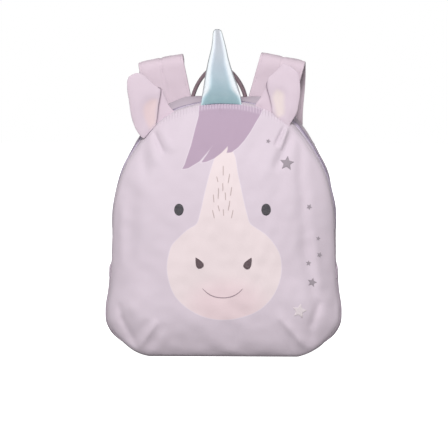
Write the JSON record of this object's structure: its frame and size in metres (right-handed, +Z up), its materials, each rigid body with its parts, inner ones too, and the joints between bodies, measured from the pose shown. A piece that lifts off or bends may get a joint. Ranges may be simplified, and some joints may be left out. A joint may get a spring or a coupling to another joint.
{
  "type": "kids animal backpack",
  "caption": "Small zipped backpack with an animal's face on its rounded front, standing ears and a horn, padded shoulder straps, a top handle and open side pockets.",
  "frame": {"origin": "on the surface that the bag stands on, under the middle of its flat bottom", "axes": "+X to the right as seen from the front, -Y out of the printed front, +Z up"},
  "size_m": [0.2238, 0.1413, 0.3085],
  "materials": {
    "printed_fabric": "pale lilac polyester with a printed face, smooth and slightly sheeny",
    "gusset_fabric": "greyed lilac polyester weave",
    "back_fabric": "padded lilac polyester",
    "ear_fabric": "stuffed pale lilac polyester with a pink inner patch",
    "horn_satin": "stuffed satin with a silver blue sheen",
    "strap_fabric": "padded lilac polyester with a stitched centre line",
    "webbing": "mauve brown woven webbing",
    "elastic": "gathered elastic hem",
    "zip": "woven zip tape with a nylon coil",
    "buckle_plastic": "moulded acetal",
    "slider_metal": "painted die-cast zinc"
  },
  "bodies": {
    "root": {"front_panel": "printed_fabric", "gusset_front": "gusset_fabric", "zipper": "zip", "gusset_rear": "gusset_fabric", "gusset_base": "gusset_fabric", "back_panel": "back_fabric", "horn": "horn_satin", "carry_handle": "webbing", "ear_left": "ear_fabric", "zipper_slider_left": "slider_metal", "strap_left": "strap_fabric", "strap_webbing_left": "webbing", "webbing_anchor_left": "webbing", "side_pocket_left": "gusset_fabric", "pocket_hem_left": "elastic", "adjuster_left": "buckle_plastic", "ear_right": "ear_fabric", "zipper_slider_right": "slider_metal", "strap_right": "strap_fabric", "strap_webbing_right": "webbing", "webbing_anchor_right": "webbing", "side_pocket_right": "gusset_fabric", "pocket_hem_right": "elastic", "adjuster_right": "buckle_plastic"}
  },
  "joints": []
}
